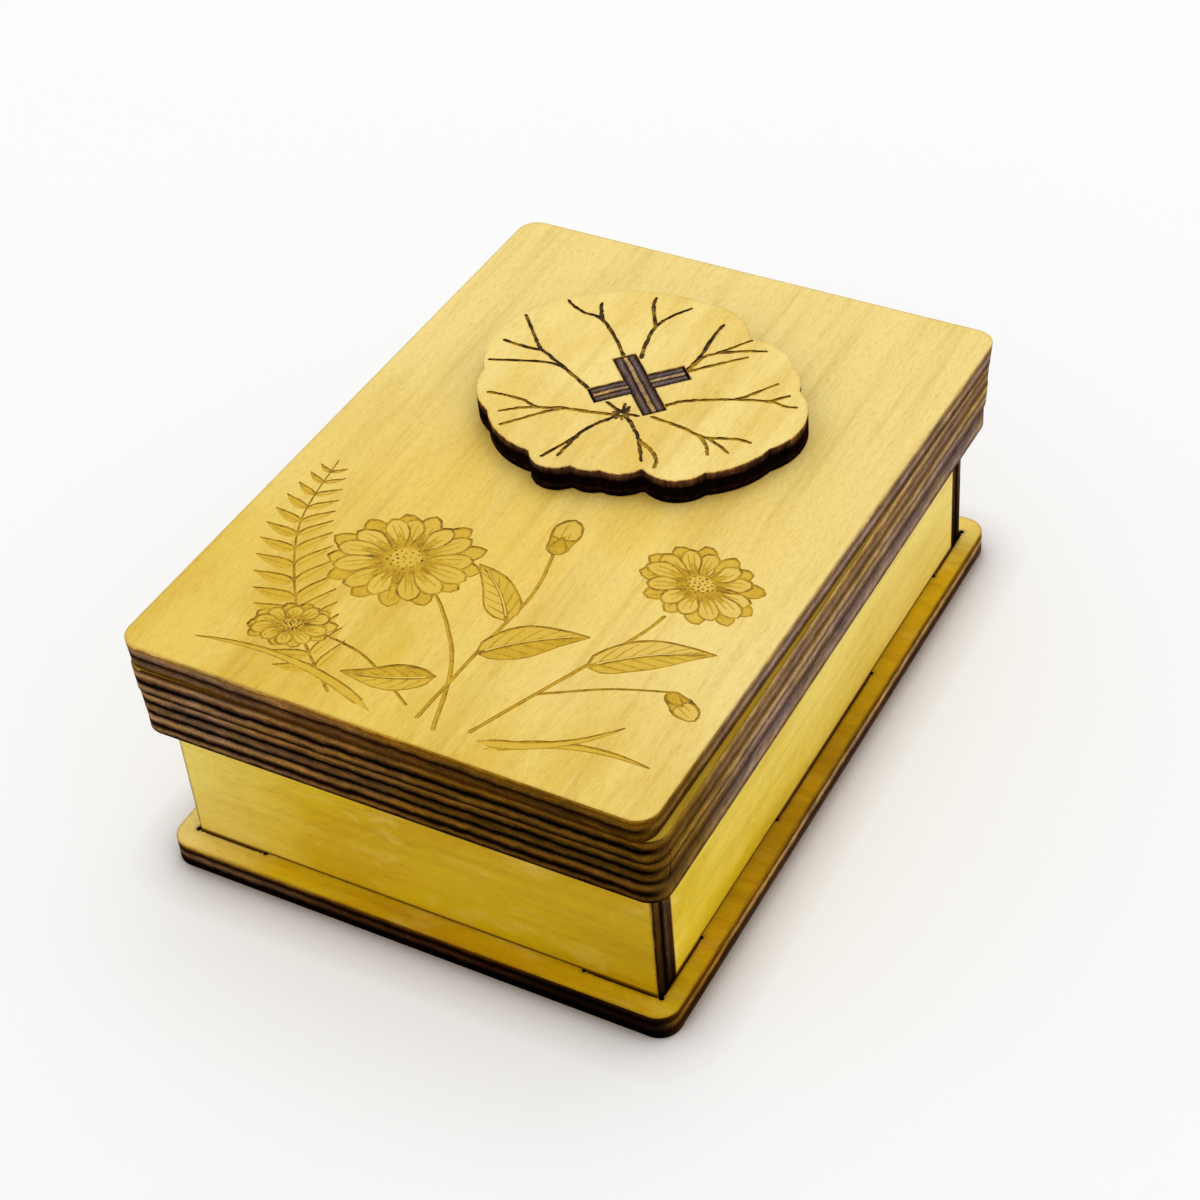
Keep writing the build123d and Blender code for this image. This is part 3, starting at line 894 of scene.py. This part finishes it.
def leaf(root, tip, width, bend, seed, tonal=0.30, ribs=6):
    """A pointed leaf: tonal halves, a pale raised midrib and side ribs, and a dark outline."""
    picker = Random(seed)
    left, right = lobe(root, tip, width, bend, profile_leaf, 0.07, seed)
    middle = [across(root, tip, bend, i / 12, 0.0) for i in range(13)]
    shapes = [(closed(left, right), FILL_DEPTH, tonal)]
    shapes.append((closed(middle, right), FILL_DEPTH * 1.5, tonal + 0.10))
    for i in range(1, ribs + 1):
        t = i / (ribs + 1)
        for side in (1, -1):
            start = across(root, tip, bend, t - 0.04, 0.0)
            reach = min(0.97, t + 0.17)
            full = width / 2 * profile_leaf(reach) * 0.86
            end = across(root, tip, bend, reach, side * full)
            bow = across(root, tip, bend, t + 0.04, side * full * 0.45)
            shapes.append(drawn(curve([start, bow, end], 4), "leaf rib", seed + i))
    shapes.append(drawn(middle[:-1], "midrib"))
    shapes.append(drawn(middle[1:-2], "midrib light"))
    for line in (left, right):
        shapes.append(drawn(line, "leaf outline", seed + 5, picker.uniform(-0.05, 0.05)))
    return shapes


def stem(points, width, end_width, seed):
    """A stem: a golden band with a darker line down one side."""
    line = curve(points, 6)
    beside = [(x + width * 0.30, y + width * 0.12) for x, y in line]
    band = stroke(line, width, end_width, 0.12, seed)
    return [(band, FILL_DEPTH * 1.5, 0.40), drawn(beside, "stem shade", seed)]


def daisy(centre, radius, petals, squash, turn, seed):
    """A daisy seen at a slant: two rings of petals round a dotted disc."""
    picker = Random(seed)
    shapes = []

    def at(angle, distance, lift=0.0):
        x, y = cos(angle) * distance, sin(angle) * distance * squash + lift
        spin = radians(turn)
        return (centre[0] + x * cos(spin) - y * sin(spin), centre[1] + x * sin(spin) + y * cos(spin))

    for ring, (share, tonal) in enumerate(((1.0, 0.34), (0.88, 0.24))):
        for i in range(petals):
            angle = 2 * pi * (i + ring * 0.5) / petals + picker.uniform(-0.06, 0.06)
            reach = radius * share * picker.uniform(0.93, 1.03)
            width = 2 * pi * radius * 0.62 / petals * (0.7 + 0.3 * squash)
            bend = picker.uniform(-0.5, 0.5)
            root, tip = at(angle, radius * 0.20), at(angle, reach)
            shapes += petal(root, tip, width, bend, seed * 50 + ring * 20 + i, tonal)
    disc = [at(2 * pi * i / 22, radius * 0.27 * (1 + 0.04 * picker.uniform(-1, 1))) for i in range(22)]
    shapes.append((disc, LINE_DEPTH, 0.46))
    shapes.append(([at(2 * pi * i / 18, radius * 0.20, 0.25) for i in range(18)], FILL_DEPTH, 0.28))
    golden_angle = 2.39996
    dots = 26
    for i in range(dots):
        middle = at(i * golden_angle, radius * 0.235 * (i / dots) ** 0.5)
        size = 0.16 + 0.05 * picker.uniform(-1, 1)
        dot = [(middle[0] + size * cos(pi * k / 3), middle[1] + size * sin(pi * k / 3)) for k in range(6)]
        shapes.append((dot, LINE_DEPTH * 1.2, 0.7))
    return shapes


def bud(root, tip, width, seed):
    """A closed bud in its cup of sepals."""
    dx, dy = tip[0] - root[0], tip[1] - root[1]
    aside = (-dy * 0.18, dx * 0.18)
    shapes = []

    def end(share, offset):
        return (root[0] + dx * share + aside[0] * offset, root[1] + dy * share + aside[1] * offset)

    for share, offset in ((1.0, 0.55), (1.0, -0.55), (1.04, 0.0)):
        shapes += petal(root, end(share, offset), width * 0.62, -offset, seed + int(offset * 4), 0.28)
    for offset in (1.5, -1.5, 0.2):
        left, right = lobe(root, end(0.5, offset), width * 0.42, -offset * 0.3, profile_leaf)
        shapes.append((closed(left, right), FILL_DEPTH * 1.6, 0.42))
        shapes += [drawn(line, "sepal outline", seed) for line in (left, right)]
    return shapes


def frond(points, leaflets, length, seed):
    """A fern frond: small leaflets in pairs on a curved rib, shorter towards the tip."""
    line = curve(points, 12)
    shapes = []
    for i in range(leaflets):
        t = 0.16 + 0.82 * i / leaflets
        index = int(t * (len(line) - 1))
        root = line[index]
        onward = line[min(len(line) - 1, index + 1)]
        run = dist(root, onward) or 1.0
        ux, uy = (onward[0] - root[0]) / run, (onward[1] - root[1]) / run
        size = length * (sin(pi * (0.22 + 0.74 * t)) ** 0.8)
        for side in (1, -1):
            wx, wy = ux * 0.55 - uy * side * 0.84, uy * 0.55 + ux * side * 0.84
            tip = (root[0] + wx * size, root[1] + wy * size)
            left, right = lobe(root, tip, size * 0.34, side * 0.25, profile_leaf)
            shapes.append((closed(left, right), FILL_DEPTH, 0.30 + 0.06 * side))
            shapes.append(drawn(right if side > 0 else left, "leaflet shade", seed + i))
            rib = [across(root, tip, side * 0.25, share, 0.0) for share in (0.1, 0.45, 0.8)]
            shapes.append(drawn(rib, "leaflet rib", seed + i))
    shapes.append(drawn(line, "frond rib", seed))
    return shapes


def grass(root, tip, bend, seed):
    """A blade of grass."""
    left, right = lobe(root, tip, 1.5, bend, profile_blade)
    outlines = [drawn(line[1:], "grass outline", seed) for line in (left, right)]
    return [(closed(left, right), FILL_DEPTH, 0.32)] + outlines


def meadow():
    """The engraving on the lid: a frond, stems, grass, leaves, buds and daisies."""
    plants = [
        frond([(-9.0, -51.0), (-20.0, -41.0), (-30.5, -25.0), (-33.5, -10.0)], 15, 6.6, 11),
        stem([(7.0, -51.5), (3.0, -40.0), (-4.0, -31.0), (-9.5, -27.0)], 0.62, 0.5, 1),
        stem([(11.5, -50.0), (16.5, -39.0), (22.5, -26.0), (24.0, -21.0)], 0.6, 0.5, 2),
        stem([(4.0, -50.5), (5.0, -36.0), (6.0, -24.0), (4.5, -15.5)], 0.55, 0.42, 3),
        stem([(1.5, -49.0), (-8.0, -43.5), (-15.0, -42.0)], 0.5, 0.4, 4),
        stem([(15.8, -40.6), (24.0, -36.0), (31.0, -33.5)], 0.45, 0.36, 5),
        grass((14.5, -52.0), (35.0, -46.5), 2.2, 0),
        grass((13.0, -51.0), (29.0, -41.5), -1.8, 1),
        grass((-2.0, -52.0), (-31.0, -49.0), -2.6, 2),
        leaf((4.9, -37.0), (17.0, -28.5), 6.4, 0.9, 61),
        leaf((5.4, -30.0), (-3.5, -21.5), 5.4, -0.8, 62, 0.24),
        leaf((19.2, -33.5), (33.5, -25.0), 6.2, 1.1, 63, 0.24, 7),
        leaf((2.2, -43.0), (-9.5, -47.0), 5.0, 0.7, 64),
        bud((4.6, -15.8), (4.0, -8.6), 6.4, 71),
        bud((31.0, -33.6), (36.2, -36.6), 4.6, 72),
        daisy((-13.5, -24.5), 11.2, 13, 0.86, 8, 81),
        daisy((25.5, -13.5), 9.4, 12, 0.74, -16, 82),
        daisy((-20.5, -42.0), 6.2, 10, 0.70, 20, 83),
    ]
    shapes = []
    for outline, depth, burn in sum(plants, []):
        shapes.append((outline if area(outline) > 0 else outline[::-1], depth, burn))
    return shapes


# Dowels

def dowel(node, body, look):
    """A CAD pin as a dowel with eased ends and faint flutes."""
    corners = [vertex.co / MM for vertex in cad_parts[node].data.vertices]
    low = [min(corner[i] for corner in corners) for i in range(3)]
    high = [max(corner[i] for corner in corners) for i in range(3)]
    middle = Vector(((low[0] + high[0]) / 2, (low[1] + high[1]) / 2, 0))
    radius = (high[0] - low[0]) / 2
    sides = DOWEL_SIDES
    rows = [(low[2] + rise, inset) for rise, inset in DOWEL_END]
    rows += [(high[2] - rise, inset) for rise, inset in DOWEL_END[::-1]]
    points, faces = [], []
    for level, inset in rows:
        for i in range(sides):
            angle = 2 * pi * i / sides
            flute = FLUTE_DEPTH * max(0.0, cos(angle * FLUTES))
            flute += DOWEL_RIPPLE * (1 + noise.noise(Vector((angle * 3, level, 0))))
            reach = radius - inset - flute
            points.append((middle + Vector((reach * cos(angle), reach * sin(angle), level))) * MM)
    for row in range(len(rows) - 1):
        for i in range(sides):
            j = (i + 1) % sides
            faces.append([row * sides + i, row * sides + j, (row + 1) * sides + j, (row + 1) * sides + i])
    faces.append(list(range(sides))[::-1])
    faces.append([(len(rows) - 1) * sides + i for i in range(sides)])
    mesh = bpy.data.meshes.new(node + "_dowel")
    mesh.from_pydata(points, [], faces)
    stand_in(mesh, node, body, look, DOWEL_CREASE)


# Looks

# The lid's top: painted light makes it paler towards the back and right, and painted shade deepens it round
# the knob
look_top = plywood_look(
    "veneer_lid_top", "y", 3, (230, 199, 92), (219, 184, 71), gold=0.7, streak=0.7, edges="top", soot=0.1,
    pale=(239, 213, 132), painted_light_way=(600.0, 1000.0, 0.0), painted_light_range=(-48.0, -8.0), mottle=0.5,
    painted_shade=((0.0, -2.0, 41.0), 16.0, 42.0, (253, 244, 196)))
looks_rim = {}
for level, seed in (("upper", 8), ("middle", 9), ("lower", 10)):
    name = f"veneer_rim_{level}"
    looks_rim[level] = plywood_look(name, "y", seed, (212, 178, 54), (198, 158, 36), edges=level)
# The upper front strip: its darker stain and much darker rim are painted shadow for the dark line under the
# front of the top panel
look_painted_shadow_strip = plywood_look(
    "veneer_rim_painted_shadow", "y", 8, (190, 150, 40), (170, 128, 28), edges="upper", soot=1.5)
look_leaf = plywood_look(
    "veneer_leaf", "y", 14, (243, 217, 134), (234, 203, 108), gold=0.4, streak=0.6, edges="char", soot=0.0)
look_blades = plywood_look("veneer_blades", "z", 21, (200, 165, 90), (170, 130, 60), edges="blade")
# The front and back walls: painted light makes them paler towards the left end, and painted shade deepens
# them towards the right end and the foot
look_front = plywood_look(
    "veneer_front_wall", "x", 33, (221, 188, 8), (203, 162, 2), gold=0.4, streak=0.7, edges="post", soot=0.45,
    pale=(236, 211, 104), painted_light_way=(-43.0, 0.0, 0.0), painted_light_range=(0.62, 1.62), mottle=0.6, mottle_run=0.45,
    painted_shade=((42.0, -52.0, 2.0), 0.0, 60.0, (214, 200, 140)))
# The side walls: their stain, lighter than the front walls', is partly their own tone and partly painted
# light, and painted light makes them paler towards the back and the top
look_side = plywood_look(
    "veneer_side_wall", "y", 35, (235, 203, 44), (220, 186, 18), gold=0.3, streak=0.8, edges="post", soot=0.9,
    pale=(252, 227, 122), painted_light_way=(0.0, 14.0, 25.0), painted_light_range=(-0.3, 0.85), mottle=0.5, mottle_run=0.5)
# The base: painted light makes it paler towards the left and back, and painted shade deepens it round its
# right side under the lid's overhang
look_base = plywood_look(
    "veneer_base", "x", 41, (222, 186, 18), (206, 162, 6), gold=0.2, streak=1.1, edges="base", soot=0.25,
    pale=(248, 220, 124), painted_light_way=(-1500.0, 1000.0, 0.0), painted_light_range=(-18.0, 4.0), mottle=0.25,
    mottle_run=0.4, painted_shade=((42.0, -12.0, 4.0), 12.0, 48.0, (200, 184, 130)))
look_inner = plywood_look("veneer_inner", "y", 55, (214, 184, 128), (196, 160, 100))
look_pins = plywood_look("beech_dowel", "z", 61, (226, 196, 150), (206, 170, 118), gold=0.1)

sheet("base_plate", "box", Z_AXIS, look_base, X_AXIS, slot_arris=SLOT_ARRIS)
for name in ("front_wall", "back_wall"):
    sheet(name, "box", Y_AXIS, look_front)
for name in ("left_wall", "right_wall"):
    sheet(name, "box", X_AXIS, look_side)
sheet("lid_top_panel", "lid", Z_AXIS, look_top, X_AXIS, (LEAN_SIDE, LEAN_END), meadow())
for level, lean in (("upper", STRIP_LEAN), ("middle", STRIP_LEAN), ("lower", 0.0)):
    for place in ("front", "back", "left", "right"):
        look = look_painted_shadow_strip if (level, place) == ("upper", "front") else looks_rim[level]
        sheet(f"rim_{level}_{place}_strip", "lid", Z_AXIS, look, X_AXIS, (lean, 0.0), butt=BUTT_X)
for name in ("cam_housing", "cover_plate", "guide_plate_front_left", "guide_plate_front_right",
             "guide_plate_back_left", "guide_plate_back_right"):
    sheet(name, "lid", Z_AXIS, look_inner, X_AXIS)
sheet("leaf_knob", "knob", Z_AXIS, look_leaf, shapes=leaf_veins())
sheet("scroll_cam", "knob", Z_AXIS, look_inner, X_AXIS)
sheet("axle_blade_over", "knob", Vector((1, 1, 0)).normalized(), look_blades)
sheet("axle_blade_under", "knob", Vector((-1, 1, 0)).normalized(), look_blades)
for place in ("front", "back", "left", "right"):
    sheet(f"{place}_bolt", f"{place}_bolt", Z_AXIS, look_inner, X_AXIS)
    dowel(f"{place}_follower_pin", f"{place}_bolt", look_pins)


# Stage

# Painted contact shade: tone of the floor, from where a piece stands close over it to the open floor
PAINTED_CONTACT_SHADE_TONES = [(0.50, (0.40, 0.32, 0.25, 1)), (0.60, (0.64, 0.58, 0.53, 1)), (0.72, (0.80, 0.76, 0.74, 1)),
                 (0.85, (0.87, 0.84, 0.82, 1)), (0.95, (0.95, 0.92, 0.91, 1)), (1.0, grey(1.0))]


def seen_directly(tree):
    """1 where the camera or a mirror looks, else 0."""
    rays = put(tree, "LightPath").outputs
    return maths(tree, "MAXIMUM", rays["Is Camera Ray"], rays["Is Glossy Ray"])


def floor():
    """A pale floor that is white where it is open, with contact shade painted into its colour and glow close
    round the object.
    """
    mesh = bpy.data.meshes.new("floor")
    reach = FLOOR_REACH
    corners = [(-reach, -reach, 0), (reach, -reach, 0), (reach, reach, 0), (-reach, reach, 0)]
    mesh.from_pydata(corners, [], [(0, 1, 2, 3)])
    material = bpy.data.materials.new("pale_floor")
    material.use_nodes = True
    tree = material.node_tree
    shader = tree.nodes["Principled BSDF"]
    shader.inputs["Roughness"].default_value = FLOOR_ROUGHNESS
    shader.inputs["Specular IOR Level"].default_value = 0.0
    # Ambient occlusion paints the contact shade: it darkens the floor's colour and thins its glow near the
    # object
    inputs = {"Distance": CONTACT_REACH}
    open_sky = put(tree, "AmbientOcclusion", inputs, samples=CONTACT_SAMPLES).outputs["AO"]
    painted_contact_shade = ramp(tree, open_sky, PAINTED_CONTACT_SHADE_TONES)
    tree.links.new(times(tree, painted_contact_shade, grey(FLOOR_TONE)), shader.inputs["Base Color"])
    glow = put(tree, "Emission", {"Color": painted_contact_shade, "Strength": BACKDROP}).outputs[0]
    share = product(tree, seen_directly(tree), FLOOR_GLOW)
    share = product(tree, share, maths(tree, "POWER", open_sky, 2.0))
    mixed = put(tree, "MixShader", {0: share, 1: shader.outputs[0], 2: glow}).outputs[0]
    tree.links.new(mixed, tree.nodes["Material Output"].inputs["Surface"])
    mesh.materials.append(material)
    placed("floor", mesh)


def sky():
    """An even white sky, a little brighter where it is seen than where it lights."""
    world = bpy.data.worlds.new("studio")
    bpy.context.scene.world = world
    world.use_nodes = True
    tree = world.node_tree
    strength = maths(tree, "MULTIPLY_ADD", seen_directly(tree), BACKDROP - SKY_LIGHT, SKY_LIGHT)
    tree.links.new(strength, tree.nodes["Background"].inputs["Strength"])
    tree.nodes["Background"].inputs["Color"].default_value = grey(1.0)


def lamp():
    """The soft square lamp, which looks at the origin."""
    data = bpy.data.lights.new("key", "AREA")
    data.shape = "RECTANGLE"
    data.size = KEY_SIZE
    data.size_y = KEY_SIZE
    data.energy = KEY_POWER
    placed("key", data, KEY_PLACE, Vector(KEY_PLACE).to_track_quat("Z", "Y").to_euler())


def camera():
    data = bpy.data.cameras.new("camera")
    data.lens = CAMERA_LENS
    data.sensor_width = SENSOR_WIDTH
    data.clip_start = NEAREST_SEEN
    turn = [radians(angle) for angle in CAMERA_TURN]
    bpy.context.scene.camera = placed("camera", data, CAMERA_PLACE, turn)


floor()
sky()
lamp()
camera()
bpy.context.scene.view_settings.view_transform = "Standard"
